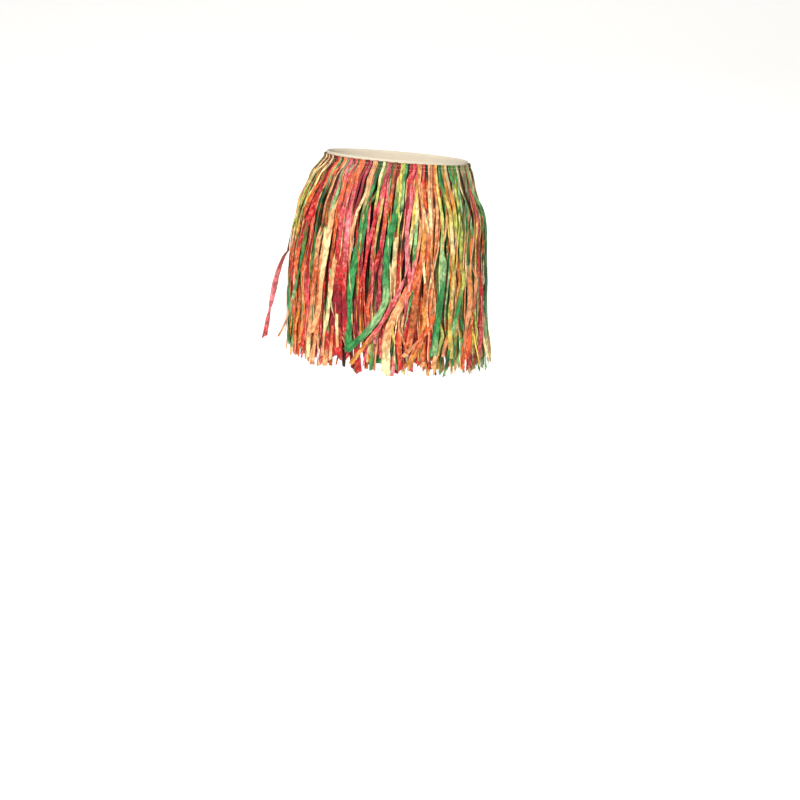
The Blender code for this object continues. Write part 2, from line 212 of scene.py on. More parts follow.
def dense_swing(bearing, along, draw):
    """How far a strip of the full rows hangs from straight under its root, in radians round the skirt."""
    swing = sum(math.radians(w.swing) * math.sin(w.count * bearing + w.phase) for w in WAVES)
    own = math.radians(OWN_SWING) * draw
    turned = TURNED_HIP_SWING * math.exp(-(((bearing - TURNED_HIP) / TURNED_HIP_SPREAD) ** 2))
    return (swing + own) * (along / LONGEST_CUT) ** SWING_GROWTH + turned * smooth(along / MIDDLE_POINT)


def past_middle(loose, along):
    """0 at the middle point of a loose strip, 1 at its cut end."""
    return np.maximum(along - MIDDLE_POINT, 0) / (loose.cut * MM - MIDDLE_POINT)


def loose_lift(loose, along):
    """How far a loose strip flies out from the skirt."""
    rise = np.minimum(past_middle(loose, along), 1.0) ** LIFT_GROWTH
    swell = loose.middle_lift * smooth(along / MIDDLE_POINT)
    return (swell + (loose.tip_lift - loose.middle_lift) * rise) * MM


def distance_per_radian(bearing, drop):
    half_width, half_depth, _, _ = hips_at(drop)
    return math.hypot(half_width * math.cos(bearing), half_depth * math.sin(bearing))


def settle(places, widths, drop):
    """Moves neighbours on one level apart until each strip clears the next."""
    count = len(places)
    for _ in range(SETTLE_ROUNDS):
        for i in range(count):
            j = (i + 1) % count
            turn = 2 * math.pi if j == 0 else 0.0
            per_radian = distance_per_radian((places[i] + places[j] + turn) / 2, drop)
            room = (places[j] + turn - places[i]) * per_radian
            short = (widths[i] + widths[j]) / 2 * DIAGONAL_ROOM + LEAST_GAP - room
            if short > 0:
                places[i] -= short / 2 / per_radian
                places[j] += short / 2 / per_radian
    return places


def settle_group(group, row):
    """Parts the strips that hang at one distance out, where they have opened to full width."""
    for k, station in enumerate(row.stations):
        if group and station * MM > OPEN_AFTER:
            drop = float(drops_along(np.zeros(1), np.array([station * MM]))[0])
            settled = settle([s.place[k] for s in group], [s.width for s in group], drop)
            for strip, place in zip(group, settled):
                strip.place[k] = place


def strips_of(row):
    """Every sewn strip of a row in order round the waist, with its bearing at each station."""
    made = []
    for i in range(row.strips):
        draw = random.Random(f"{SEED}-{row.name}-{i}")
        bearing = -math.pi + (i + 0.5) * 2 * math.pi / row.strips
        width = (row.narrow + (row.wide - row.narrow) * draw.random() ** NARROWER_MORE_OFTEN) * MM
        cut = draw.uniform(SHORTEST_CUT, LONGEST_CUT)
        slant = draw.uniform(-CUT_SLANT, CUT_SLANT)
        own = draw.uniform(-1, 1)
        if row.name == "outer" and i % LOOSE_EVERY == 1:
            loose = LOOSE_STRIPS[i // LOOSE_EVERY]
            width, cut = loose.width * MM, loose.cut * MM
            hang, hang_after = LOOSE_HANG * MM, LOOSE_HANG_AFTER
            place = [bearing + math.radians(swing) for swing in loose.swings]
        else:
            loose = None
            hang, hang_after = row.hang * MM, HANG_AFTER
            place = [bearing + dense_swing(bearing, s * MM, own) for s in row.stations]
        made.append(Strip(bearing, loose, width, cut, slant, hang, hang_after, place))
    for level in ("full", "loose", "over"):
        settle_group([strip for strip in made if level_of(strip) == level], row)
    return made


def level_of(strip):
    """Whether a strip hangs in its full row, loose over the row, or over the other loose strips."""
    if not strip.loose:
        return "full"
    return "over" if strip.loose.middle_lift >= OVER_LIFT else "loose"


sewn = {row.name: strips_of(row) for row in ROWS}
print("sewn strips", {name: len(strips) for name, strips in sewn.items()})

# %% [markdown]
# ## Dyes
# The raffia is dyed in bunches before it is cut, dipped in one colour after another, so the colour
# wanders along each strip: orange into red into pink, or lime into green. A photo texture could show that,
# but a short list of named dyes and the order they were dipped in says it more clearly, and it can be
# changed. The left of the skirt is mostly reds and the right mostly greens and yellows.
# Strips that hang deep in the rows are darkened by the waist with dark dips and a lower brightness, which is
# painted shade. Some are brightened toward the hem, which is painted light.
# %% Dyes and the order they were dipped in
DYES = {
    "red": (206, 36, 40),
    "crimson": (150, 18, 38),
    "rose": (224, 72, 88),
    "pink": (238, 118, 132),
    "orange": (232, 96, 40),
    "amber": (228, 146, 50),
    "peach": (242, 164, 112),
    "cream": (246, 224, 164),
    "yellow": (240, 206, 92),
    "lime": (184, 196, 88),
    "mint": (138, 196, 128),
    "green": (50, 146, 78),
    "forest": (24, 84, 46),
    "rust": (178, 86, 36),
    "olive": (110, 128, 54),
    "sage": (138, 158, 114),
    "berry": (180, 44, 72),
    "bark": (58, 24, 14),
    "straw": (218, 192, 112),
}
DIPS = {
    "ember": ("orange", "red", "rose", "orange"),
    "flame": ("red", "red", "orange", "amber"),
    "rose": ("rose", "pink", "red", "rose"),
    "petal": ("red", "rose", "pink", "rose"),
    "berry": ("crimson", "rose", "red", "crimson"),
    "shell": ("peach", "cream", "peach", "peach"),
    "melon": ("peach", "orange", "amber", "peach"),
    "sun": ("amber", "yellow", "cream", "orange"),
    "straw": ("cream", "yellow", "lime", "peach"),
    "meadow": ("yellow", "lime", "green", "mint"),
    "leaf": ("lime", "green", "forest", "green"),
    "fern": ("green", "mint", "green", "forest"),
    "mint": ("mint", "cream", "green", "mint"),
    # These two orders are dark dips, used only as painted shade by the waist.
    "ground": ("bark", "rust", "bark", "crimson"),
    "shade": ("forest", "bark", "olive", "bark"),
}
# A zone ends at a bearing in degrees. Its second number scales the share of strips that take the dark dips of
# painted shade, most at the front, and its third lists its dyes.
Zone = namedtuple("Zone", "end deep dips")
ZONES = (
    Zone(-150, 0.5, ("melon", "leaf", "rose", "straw", "mint", "ember")),
    Zone(-120, 0.5, ("shell", "flame", "meadow", "rose", "leaf", "sun")),
    Zone(-95, 0.5, ("straw", "ember", "mint", "petal", "leaf", "melon")),
    Zone(-70, 0.6, ("straw", "leaf", "flame", "melon", "ember", "sun")),
    Zone(-45, 0.6, ("ember", "flame", "melon", "shell", "leaf", "melon")),
    Zone(-20, 0.85, ("ember", "petal", "melon", "flame", "leaf", "shell")),
    Zone(0, 1.0, ("berry", "fern", "petal", "leaf", "melon", "flame")),
    Zone(20, 0.95, ("melon", "berry", "flame", "sun", "ember", "shell")),
    Zone(45, 0.65, ("sun", "melon", "ember", "straw", "melon", "melon")),
    Zone(70, 0.4, ("meadow", "straw", "fern", "sun", "melon", "sun")),
    Zone(95, 0.4, ("meadow", "mint", "leaf", "straw", "flame", "sun")),
    Zone(130, 0.5, ("leaf", "sun", "mint", "melon", "rose", "meadow")),
    Zone(180, 0.5, ("flame", "straw", "fern", "shell", "petal", "melon")),
)
# Dark dips that paint shade by the waist, where strips hang in the shade of the others.
PAINTED_SHADE_DIPS = ("ground", "ground", "shade", "shade", "berry")
PALE_DIPS = ("straw", "shell", "sun", "mint", "shell", "melon")
PALE_SHARE = 0.65
DIP_RUN = 120 * MM
DIP_RUN_SHARES = (0.6, 1.2)
BLEND = 0.5
# Each row's painted shade: the share of its strips that take dark dips by the waist, and its brightness by
# the waist and at the hem. Below 1 it is painted shade, where the strip hangs in the shade of the others.
# Above 1 it is painted light.
Depth = namedtuple("Depth", "deep upper lower")
PAINTED_SHADE_BY_ROW = {
    "under": Depth(1.3, 0.25, 0.85),
    "middle": Depth(1.1, 0.42, 0.95),
    "backing": Depth(1.3, 0.42, 0.90),
    "outer": Depth(0.75, 0.85, 1.05),
    "front": Depth(0.9, 0.50, 0.95),
    "over": Depth(0.0, 1.05, 1.1),
}
SHADED_TO = 190 * MM
SHADE_RUN = 130 * MM


def linear(colour):
    """Screen colour, 0 to 255, to the light that the renderer adds up."""
    share = np.array(colour, float) / 255
    return np.where(share <= 0.04045, share / 12.92, ((share + 0.055) / 1.055) ** 2.4)


def dip_colours(names, places):
    """The colour at each place, counted in dips from the first, with soft borders between them."""
    order = [linear(DYES[name]) for name in names]
    before = np.floor(places).astype(int)
    fade = smooth((places % 1 - (1 - BLEND) / 2) / BLEND)[:, None]
    now = np.array([order[i % len(order)] for i in before])
    after = np.array([order[(i + 1) % len(order)] for i in before])
    return now * (1 - fade) + after * fade


def dyed_in_turn(names, along, draw):
    """Colours for a strip cut anywhere from a bunch that was dipped in turn."""
    start = draw.uniform(0, len(names))
    return dip_colours(names, start + along / (DIP_RUN * draw.uniform(*DIP_RUN_SHARES)))


def dyed_by_list(names, along, first, last):
    """Colours that follow a list from one place on the strip to another."""
    share = np.clip((along - first) / (last - first), 0, 1)
    return dip_colours(names, share * (len(names) - 1))


def zone_at(bearing):
    angle = math.degrees((bearing + math.pi) % (2 * math.pi) - math.pi)
    return next(zone for zone in ZONES if angle <= zone.end)


def hung_colours(kind, bearing, along, draw):
    """The dyes of a strip, darkened by the waist as painted shade, where it hangs in the shade of the others.
    """
    depth, zone = PAINTED_SHADE_BY_ROW[kind], zone_at(bearing)
    pale = kind == "over" and draw.random() < PALE_SHARE
    colours = dyed_in_turn(DIPS[draw.choice(PALE_DIPS if pale else zone.dips)], along, draw)
    lit = smooth((along - SHADED_TO) / SHADE_RUN)[:, None]
    # Some strips take dark dips by the waist: painted shade.
    if draw.random() < depth.deep * zone.deep:
        dark = dyed_in_turn(DIPS[draw.choice(PAINTED_SHADE_DIPS)], along, draw)
        colours = dark * (1 - lit) + colours * lit
    # The row's factor darkens the strip by the waist as painted shade and, where it is over 1, brightens it
    # as painted light.
    return colours * (depth.upper + (depth.lower - depth.upper) * lit)


print(len(DYES), "dyes in", len(DIPS), "orders")

# %% [markdown]
# ## One strip of raffia
# A strip is a flat ribbon of paper raffia: pleated where it is gathered into the heading, open below, then
# curled, creased and here and there pinched and turned over. It could be a curve with a flat bevel, but a
# curve can't change its fold along its length. A grid is laid along the path instead, with a row of points
# every few millimetres, and a Solidify modifier later gives the ribbon its thickness.
# %% The path of a strip
Path = namedtuple("Path", "along middle out side")
ROW_STEP = 5.5 * MM
WANDER_SHARES = (1.0, 0.61, 0.37)
WANDER_HEIGHT = 1.6


def wander(draw, along, length):
    """A slow random wave between about -1 and 1, that repeats in no visible way."""
    total = np.zeros_like(along)
    for share in WANDER_SHARES:
        total += share * np.sin(2 * math.pi * along / (length * share) + draw.uniform(0, 2 * math.pi))
    return total / WANDER_HEIGHT


def heading_offset(number):
    """The middle of a row's heading, outside the elastic."""
    return ROW_GAP + HEADING_THICKNESS / 2 + number * (HEADING_THICKNESS + ROW_GAP)


def path_of(along, bearing, outside, root):
    """The middle line of a strip, with its outward and sideways directions at each point."""
    drop = drops_along(bearing, along)
    middle = surface_points(bearing, drop, outside)
    middle[:, 2] += waist_lift(root)
    half_width, half_depth, _, _ = hips_at(drop)
    out = np.stack([half_depth * np.sin(bearing), -half_width * np.cos(bearing), 0 * bearing], axis=-1)
    forward = np.gradient(middle, axis=0)
    forward /= np.linalg.norm(forward, axis=1, keepdims=True)
    out -= forward * (out * forward).sum(axis=1, keepdims=True)
    out /= np.linalg.norm(out, axis=1, keepdims=True)
    return Path(along, middle, out, np.cross(out, forward))


def sewn_path(row, number, strip):
    """The path of a sewn strip, from the top of its head to its cut end."""
    rows = round((strip.cut + HEADING_TOP - HEADING_FOOT) / ROW_STEP)
    along = np.linspace(HEADING_FOOT - HEADING_TOP, strip.cut, rows)
    stations = [0.0] + [s * MM for s in row.stations]
    bearing = curve_through(stations, [strip.bearing] + list(strip.place), np.maximum(along, 0))
    start = heading_offset(number)
    wave = WAVE_REACH * np.sin(2 * math.pi * along / WAVE_LENGTH + row.strips * strip.bearing)
    outside = start + (strip.hang - start) * smooth(along / strip.hang_after)
    outside += wave * smooth(along / HANG_AFTER)
    if strip.loose:
        outside += loose_lift(strip.loose, along)
    return path_of(along, bearing, outside, strip.bearing)


trial = sewn_path(ROWS[2], 2, sewn["outer"][48])
print("front strip", len(trial.along), "rows, tip at", trial.middle[-1].round(3))

# %% [markdown]
# The grid's own corners run from -0.5 to 0.5, which says how far across and along each point is. Each
# point then moves to its place on the ribbon. Two attributes go with it: the dye, and the fibre
# directions in metres, which the finish uses to draw fibres at their real size.
# %% Laying a grid along a path
PLEAT_DEPTH = 0.35 * MM
PLEAT_COUNTS = (1.5, 2.0, 2.5)
PLEAT_SHIFT = 1.5
PLEAT_SHIFT_LENGTH = 90 * MM
FULL_PLEAT_WIDTH = 7 * MM
CURL_DEPTH = 0.9 * MM
CURL_LENGTH = 130 * MM
CURL_LEVEL = 0.33
TURN_REACH = 1.6 * MM
TURN_LENGTH = 170 * MM
OPEN_FROM = -5 * MM
OPEN_TO_FULL = 60 * MM
WIDTH_CHANGE = 0.10
WIDTH_LENGTH = 60 * MM
PINCH_FROM = 60 * MM
PINCH_TO_TIP = 30 * MM
PINCH_REACH = (14 * MM, 34 * MM)
PINCH_DEPTH = (0.35, 0.72)
PINCH_TURNS_OVER = 0.4
TURN_OVER_RUN = 2.2
BRIGHTNESS = (0.85, 1.1)
RAGGED = 0.05
RAGGED_LENGTH = 23 * MM
FRAYED = 0.10
TIP_BEND = 13 * MM
TIP_RUN = 60 * MM
FULL_BEND_WIDTH = 6 * MM
Shape = namedtuple("Shape", "width head_width slant columns pinches turned")


def pinch_places(count, cut, draw):
    """Where a strip is pinched narrow along its way."""
    return [draw.uniform(PINCH_FROM, cut - PINCH_TO_TIP) for _ in range(count)]


def width_along(shape, along, draw):
    """The ribbon's width: gathered at the head, open below, pinched here and there.

    A strip that is gathered narrower than it is opens over twice the length."""
    opening = OPEN_TO_FULL * (2 if shape.head_width < shape.width else 1)
    opened = smooth((along - OPEN_FROM) / opening)
    width = shape.head_width + (shape.width - shape.head_width) * opened
    width *= 1 + WIDTH_CHANGE * wander(draw, along, WIDTH_LENGTH)
    turn = np.zeros_like(along)
    for place in shape.pinches:
        reach = draw.uniform(*PINCH_REACH)
        width *= 1 - draw.uniform(*PINCH_DEPTH) * np.exp(-(((along - place) / reach) ** 2))
        if draw.random() < PINCH_TURNS_OVER:
            turn += draw.choice((-1, 1)) * math.pi * smooth((along - place) / (TURN_OVER_RUN * reach) + 0.5)
    return width, turn


def lay_ribbon(bm, layers, path, shape, colours, draw):
    """Adds one ribbon to a bundle."""
    along, columns = path.along, shape.columns
    colours = colours * draw.uniform(*BRIGHTNESS)
    width, turn = width_along(shape, along, draw)
    below = smooth(along / HANG_AFTER)
    limit = np.minimum(1.0, 2 * TURN_REACH / width)
    turn = turn + shape.turned + np.arcsin(limit) * wander(draw, along, TURN_LENGTH) * below
    curl = CURL_DEPTH * wander(draw, along, CURL_LENGTH) * below
    pleats = draw.choice(PLEAT_COUNTS)
    pleat_shift = PLEAT_SHIFT * wander(draw, along, PLEAT_SHIFT_LENGTH) + draw.uniform(0, 6)
    depth = PLEAT_DEPTH * (0.6 + 0.6 * (1 - below)) * np.minimum(1, shape.width / FULL_PLEAT_WIDTH)
    ragged = [1 + RAGGED * wander(draw, along, RAGGED_LENGTH) for _ in (0, 1)]
    frayed = [draw.uniform(-FRAYED, FRAYED) for _ in range(columns)]
    own = draw.random()
    across = np.linspace(-1, 1, columns)
    half = np.where(across < 0, ragged[0][:, None], ragged[1][:, None]) * width[:, None] / 2
    flat = half * across
    raised = curl[:, None] * (across**2 - CURL_LEVEL) * (width / shape.width)[:, None]
    raised = raised + depth[:, None] * np.sin(math.pi * pleats * across + pleat_shift[:, None])
    cosine, sine = np.cos(turn)[:, None, None], np.sin(turn)[:, None, None]
    side = path.side[:, None, :] * cosine + path.out[:, None, :] * sine
    out = path.out[:, None, :] * cosine - path.side[:, None, :] * sine
    points = path.middle[:, None, :] + side * flat[:, :, None] + out * raised[:, :, None]
    bend = draw.choice((-1, 1)) * draw.random() ** 2 * min(TIP_BEND, TIP_BEND * FULL_BEND_WIDTH / shape.width)
    points += path.side[:, None, :] * (bend * smooth((along - along[-1] + TIP_RUN) / TIP_RUN))[:, None, None]
    forward = path.middle[-1] - path.middle[-2]
    forward /= np.linalg.norm(forward)
    for i in range(columns):
        points[-1, i] += forward * shape.width * (shape.slant * across[i] + frayed[i])
    grid = bmesh.ops.create_grid(bm, x_segments=columns - 1, y_segments=len(along) - 1, size=0.5)
    dye_layer, fibre_layer = layers
    for vert in grid["verts"]:
        i = round((vert.co.x + 0.5) * (columns - 1))
        k = round((vert.co.y + 0.5) * (len(along) - 1))
        vert.co = points[k, i]
        vert[dye_layer] = (*colours[k], 1.0)
        vert[fibre_layer] = (flat[k, i], along[k], own)


print("a ribbon is pleated", PLEAT_DEPTH / MM, "mm deep and curls up to", CURL_DEPTH / MM, "mm")

# %% [markdown]
# ## Finishes
# Shader maths reads best as plain sums. `Wire` holds one output socket and turns +, - and * into Math
# nodes. `Finish` holds one material, and its `node` method makes every other node.
# %% Shader maths as sums


class Wire:
    """One number or vector that flows through a finish."""

    def __init__(self, finish, socket):
        self.finish = finish
        self.socket = socket

    def worked(self, operation, *values):
        inputs = dict(enumerate(values))
        return self.finish.node("ShaderNodeMath", {"operation": operation}, inputs)

    def __add__(self, other):
        return self.worked("ADD", self, other)

    __radd__ = __add__

    def __mul__(self, other):
        return self.worked("MULTIPLY", self, other)

    __rmul__ = __mul__

    def __sub__(self, other):
        return self.worked("SUBTRACT", self, other)

    def __rsub__(self, other):
        return self.worked("SUBTRACT", other, self)

    def sine(self):
        return self.worked("SINE", self)

    def over(self, low, high):
        """0 under low and 1 over high, with a soft step between."""
        settings = {"interpolation_type": "SMOOTHSTEP"}
        inputs = {"Value": self, "From Min": low, "From Max": high}
        return self.finish.node("ShaderNodeMapRange", settings, inputs)


class Finish:
    """One material, with the one method that makes its nodes."""

    def __init__(self, name):
        self.material = bpy.data.materials.new(name)
        self.material.use_nodes = True
        self.tree = self.material.node_tree
        self.shader = self.tree.nodes["Principled BSDF"]

    def feed(self, socket, value):
        if isinstance(value, Wire):
            self.tree.links.new(value.socket, socket)
        else:
            socket.default_value = value

    def node(self, kind, settings=None, inputs=None, output=0):
        made = self.tree.nodes.new(kind)
        for name, value in (settings or {}).items():
            setattr(made, name, value)
        for name, value in (inputs or {}).items():
            self.feed(made.inputs[name], value)
        return Wire(self, made.outputs[output])

    def surface(self, **inputs):
        for name, value in inputs.items():
            self.feed(self.shader.inputs[name.replace("_", " ")], value)

    def attribute(self, name, output):
        return self.node("ShaderNodeAttribute", {"attribute_name": name}, output=output)

    def noise(self, places, scale, detail=2.0):
        """Noise over places that are stretched by a scale for each direction."""
        stretched = self.node("ShaderNodeVectorMath", {"operation": "MULTIPLY"}, {0: places, 1: scale})
        return self.node("ShaderNodeTexNoise", None, {"Vector": stretched, "Scale": 1.0, "Detail": detail})

    def brightened(self, colour, factor):
        return self.node("ShaderNodeVectorMath", {"operation": "SCALE"}, {0: colour, "Scale": factor})

    def mixed(self, colour, other, factor):
        settings = {"data_type": "RGBA"}
        inputs = {"Factor": factor, 6: colour, 7: other}
        return self.node("ShaderNodeMix", settings, inputs, output=2)

    def bumped(self, height, depth, strength=1.0):
        inputs = {"Height": height, "Distance": depth, "Strength": strength}
        return self.node("ShaderNodeBump", None, inputs)


# %% [markdown]
# Raffia ribbon has fibres that run its whole length, blotches where the dye took unevenly, pale flecks of
# undyed fibre where the dye isn't dark, and fine cross creases that catch the light. All of it is drawn in
# the strip's own directions and at its real size, so it turns with the strip.
# %% The finish of the raffia
raffia = Finish("dyed_raffia")
dye = raffia.attribute("dye", "Color")
dye_brightness = raffia.attribute("dye", "Fac")
fibre = raffia.attribute("fibre", "Vector")
streaks = raffia.noise(fibre, (750, 14, 900), detail=3.0)
fine_streaks = raffia.noise(fibre, (3200, 45, 900))
patches = raffia.noise(fibre, (170, 80, 900)).over(0.40, 0.60)
specks = raffia.noise(fibre, (260, 150, 900)).over(0.48, 0.68) * dye_brightness.over(0.05, 0.30)
creases = raffia.noise(fibre, (160, 1100, 900))
light = 0.20 + 0.85 * streaks + 0.3 * (fine_streaks - 0.5) + 0.62 * patches
pale = raffia.mixed(dye, (0.95, 0.80, 0.55, 1.0), 0.42)
colour = raffia.mixed(raffia.brightened(dye, light), raffia.brightened(pale, light), specks * 0.7)
relief = 0.55 * streaks + 0.25 * fine_streaks + 0.35 * creases + 0.3 * patches
raffia.surface(
    Base_Color=colour,
    Roughness=0.42 + 0.20 * patches,
    Specular_IOR_Level=0.35,
    Sheen_Weight=0.05,
    Normal=raffia.bumped(relief, 0.0006, 0.9),
)
print("raffia finish has", len(raffia.tree.nodes), "nodes")

# %% [markdown]
# ## Filling the skirt out
# The measured model holds the strips that matter for its shape. A real skirt has three or four times as
# many, most of them slimmer, which fill the gaps and cross over each other. They are added here, between
# the sewn rows and over the outer one, from the same swing with more of their own.
# %% Slim strips between the rows
Filler = namedtuple("Filler", "count nearest farthest narrow wide shortest swing")
FILLERS = {
    "under": Filler(12, 1.5, 5.0, 3.5, 8, 300, 3.0),
    "middle": Filler(16, 7.5, 12.0, 3.5, 8, 310, 4.0),
    "outer": Filler(24, 13.5, 22.0, 3.0, 9, 330, 5.0),
    "front": Filler(8, 13.5, 19.0, 3.0, 8, 335, 5.0),
    "over": Filler(12, 19.5, 23.0, 2.0, 4.5, 330, 6.5),
}
FILLER_ROW_STEP = 7 * MM
FILLER_TOP = 6 * MM
FILLER_GROWTH = 1.3
FILLER_WANDER = 0.22
FILLER_WANDER_LENGTH = 260 * MM
FILLER_WAVE = 1.2 * MM
FILLER_WAVE_LENGTH = 200 * MM
HEAD_UNDER = 0.5 * MM
CHARTED_SECTORS = (2, 3, 4, 5)


def filler_path(filler, number, bearing, draw):
    """The path of a slim strip, which is tucked behind the heads and swings its own way."""
    cut = draw.uniform(filler.shortest * MM, LONGEST_CUT)
    along = np.linspace(-FILLER_TOP, cut, round(cut / FILLER_ROW_STEP))
    share = np.maximum(along, 0) / LONGEST_CUT
    reach = math.radians(filler.swing)
    own = reach * draw.uniform(-1, 1) * share**FILLER_GROWTH
    own += FILLER_WANDER * reach * share * wander(draw, along, FILLER_WANDER_LENGTH)
    swing = dense_swing(bearing, np.maximum(along, 0), 0.0)
    hang = draw.uniform(filler.nearest, filler.farthest) * MM
    start = heading_offset(number) - HEAD_UNDER
    outside = start + (hang - start) * smooth(along / HANG_AFTER)
    outside += FILLER_WAVE * wander(draw, along, FILLER_WAVE_LENGTH) * smooth(along / HANG_AFTER)
    return path_of(along, bearing + swing + own, outside, bearing)


print({kind: filler.count for kind, filler in FILLERS.items()}, "slim strips a run")

# %% [markdown]
# The strips that the eye follows at the front are charted one by one, as a braid or a weave is. A row says
# how far below the middle of the waist a strip comes out from under its neighbours, where it is seen from
# there down, in millimetres right of the middle at every 60 mm, its width, its main dyes, and how far its tip
# flies out, if it does. Above and below that part it is tucked in. The second chart holds the strips that
# cross over the first. The bearing comes from where the strip is seen, on the hips' own surface.
# %% Charted strips at the front
CAMERA_DISTANCE = 3.53
CAMERA_RISE = math.radians(5.2)
Charted = namedtuple("Charted", "top places width dyes flies", defaults=(0,))
CHART_STEP = 60 * MM
CHARTED_STRIPS = (
    Charted(-15, (-151, -185, -201, -215, -219, -219), 8, "cream lime cream mint"),
    Charted(-15, (-143, -171, -195, -205, -207, -209), 9, "cream yellow lime orange"),
    Charted(-3, (-117, -158, -170, -178, -185, -185), 10, "orange red crimson rose"),
    Charted(-7, (-125, -148, -160, -168, -176), 7, "mint forest green olive"),
    Charted(37, (-133, -148, -156, -166, -171), 4, "peach rust orange"),
    Charted(-7, (-109, -122, -139, -150), 7, "sage mint cream"),
    Charted(27, (-105, -117, -127, -135), 7, "rose orange rust"),
    Charted(-11, (-101, -110, -119), 7, "pink orange rose"),
    Charted(-3, (-59, -75, -89, -97), 7, "berry crimson rose crimson"),
    Charted(-7, (-49, -63, -85, -95, -101), 6, "peach cream peach rust"),
    Charted(-7, (-35, -51, -73), 7, "forest green olive"),
    Charted(-7, (-29, -39, -47), 5, "cream lime rose"),
    Charted(-7, (-19, -27, -39), 9, "berry rose pink"),
    Charted(77, (-29, -41, -51, -58), 5, "straw olive"),
    Charted(121, (-25, -36, -51, -63), 8, "rose red crimson orange"),
    Charted(-3, (-3, -10, -24, -33), 8, "rust orange rose"),
    Charted(17, (11, 9, 3, -4), 5, "lime cream cream"),
    Charted(187, (-5, -11, -20), 9, "cream peach lime"),
    Charted(-7, (11, 8, -1), 7, "yellow lime"),
    Charted(-7, (21, 14, 8), 6, "green mint forest"),
    Charted(-7, (31, 26, 17, 13), 11, "red crimson bark"),
    Charted(21, (37, 28, 19, 22, 27), 9, "rose pink pink rose"),
    Charted(-7, (49, 43, 33, 24), 8, "amber yellow cream"),
    Charted(87, (41, 37, 34), 6, "cream mint green"),
    Charted(-7, (59, 58, 61), 8, "red orange crimson"),
    Charted(57, (47, 58, 68), 5, "peach cream orange"),
    Charted(-7, (71, 69, 67, 66, 59), 8, "peach cream peach amber"),
    Charted(17, (83, 81, 79, 75), 6, "orange peach rust"),
    Charted(167, (83, 71, 60, 59), 6, "peach cream peach orange"),
    Charted(141, (47, 37, 22, 15), 6, "peach pink rose"),
    Charted(141, (55, 49, 41, 37), 9, "amber orange rust"),
    Charted(161, (66, 61, 55, 55), 8, "orange rust amber"),
    Charted(257, (37, 33, 25), 13, "orange rust orange"),
    Charted(-3, (85, 87, 91, 91, 91, 89), 8, "yellow lime mint green"),
    Charted(-7, (95, 100, 103), 6, "forest green rust"),
    Charted(-7, (107, 113, 116, 119), 9, "cream amber lime cream"),
    Charted(77, (105, 117, 122, 129), 8, "amber peach orange rust"),
    Charted(-7, (115, 124, 126), 6, "green lime green"),
    Charted(-7, (133, 133, 132, 137), 6, "sage mint olive lime"),
    Charted(41, (136, 144, 151), 5, "cream mint green"),
    Charted(153, (139, 140, 151), 6, "peach peach orange"),
    Charted(157, (147, 145), 7, "olive forest"),
    Charted(277, (87, 79, 69), 12, "green forest green"),
    Charted(349, (135, 119), 7, "green mint"),
    Charted(189, (-190, -192, -192, -201), 9, "orange amber"),
    Charted(247, (-137, -143, -143), 8, "mint olive"),
    Charted(333, (-134, -137), 11, "crimson red"),
    Charted(255, (-139, -128, -97), 4, "cream peach"),
    Charted(333, (-118, -121), 7, "pink red"),
    Charted(157, (12, 4, -2, -5), 10, "bark red orange crimson"),
    Charted(271, (5, 3, 5), 5, "cream peach orange"),
    Charted(277, (18, 9), 6, "pink peach"),
    Charted(373, (-2, -21), 7, "red pink"),
    Charted(369, (-81, -87), 10, "rose red"),
    Charted(365, (-51, -55), 6, "olive green"),
    Charted(267, (30, 17), 4, "green mint"),
    Charted(247, (33, 21), 3, "yellow cream"),
    Charted(361, (48, 25), 12, "orange amber"),
    Charted(357, (92, 66), 8, "lime peach"),
    Charted(377, (107, 95), 6, "green forest mint"),
    Charted(361, (169, 169), 9, "cream green"),
    Charted(367, (4, 5), 9, "orange red"),
    Charted(333, (-209, -207), 9, "amber peach"),
    Charted(355, (-143, -145), 10, "red peach"),
    Charted(271, (-6, -35, -55), 7, "orange peach cream"),
    Charted(275, (76, 67, 13), 9, "rust orange peach"),
    Charted(47, (-34, -65, -77), 5, "olive green mint"),
    # The last three strips, dyed bark, are dark strips laid where the gaps between strips fall in shade:
    # painted shade.
    Charted(21, (-123, -137, -145), 7, "bark rust"),
    Charted(21, (-73, -89, -101), 8, "crimson bark"),
    Charted(37, (80, 77), 6, "rust bark"),
)
CROSSING_STRIPS = (
    Charted(-11, (-133, -157, -175, -197, -207), 14, "crimson red orange"),
    Charted(67, (-171, -194, -211, -213), 12, "orange orange red"),
    Charted(129, (-181, -192, -205, -219, -221), 9, "olive green mint green"),
    Charted(187, (-216, -219, -222, -222), 9, "mint green green green"),
    Charted(107, (-131, -141, -152, -158, -168), 11, "peach cream peach peach"),
    Charted(157, (-158, -165, -173, -178, -186), 10, "peach orange peach cream"),
    Charted(211, (-128, -136, -146, -158), 9, "peach cream peach"),
    Charted(-3, (-73, -88, -97, -103, -107, -107, -106), 10, "orange rose pink rose red crimson red"),
    Charted(37, (95, 104, 110, 112, 110, 105, 99), 8, "green yellow cream yellow straw amber peach"),
    Charted(213, (92, 89, 80, 73), 12, "mint green green mint"),
    Charted(237, (134, 122, 112), 10, "lime green mint"),
    Charted(237, (158, 154, 145, 145), 12, "peach orange orange red"),
    Charted(107, (160, 163, 164, 172, 174), 11, "rose red red rose"),
    Charted(7, (137, 143, 148), 6, "bark bark crimson"),
    Charted(7, (150, 155, 160), 5, "rust rose rose"),
    Charted(57, (158, 174, 177, 177, 177, 178), 13, "mint green green forest green mint"),
    Charted(317, (174, 184), 9, "peach cream"),
    Charted(317, (-123, -121), 6, "cream peach"),
    Charted(343, (-132, -136), 7, "orange peach"),
    Charted(233, (-214, -217, -219), 6, "peach peach", 22),
    Charted(277, (170, 173, 175), 7, "cream cream", 14),
)
CHARTED_LEVELS = (20.5, 21.2, 21.9, 22.6)
CROSSING_LEVELS = (23.3, 24.0)
FLY_RUN = 70 * MM
TUCKED_LEVEL = 14.5 * MM
TUCK_RUN = 40 * MM
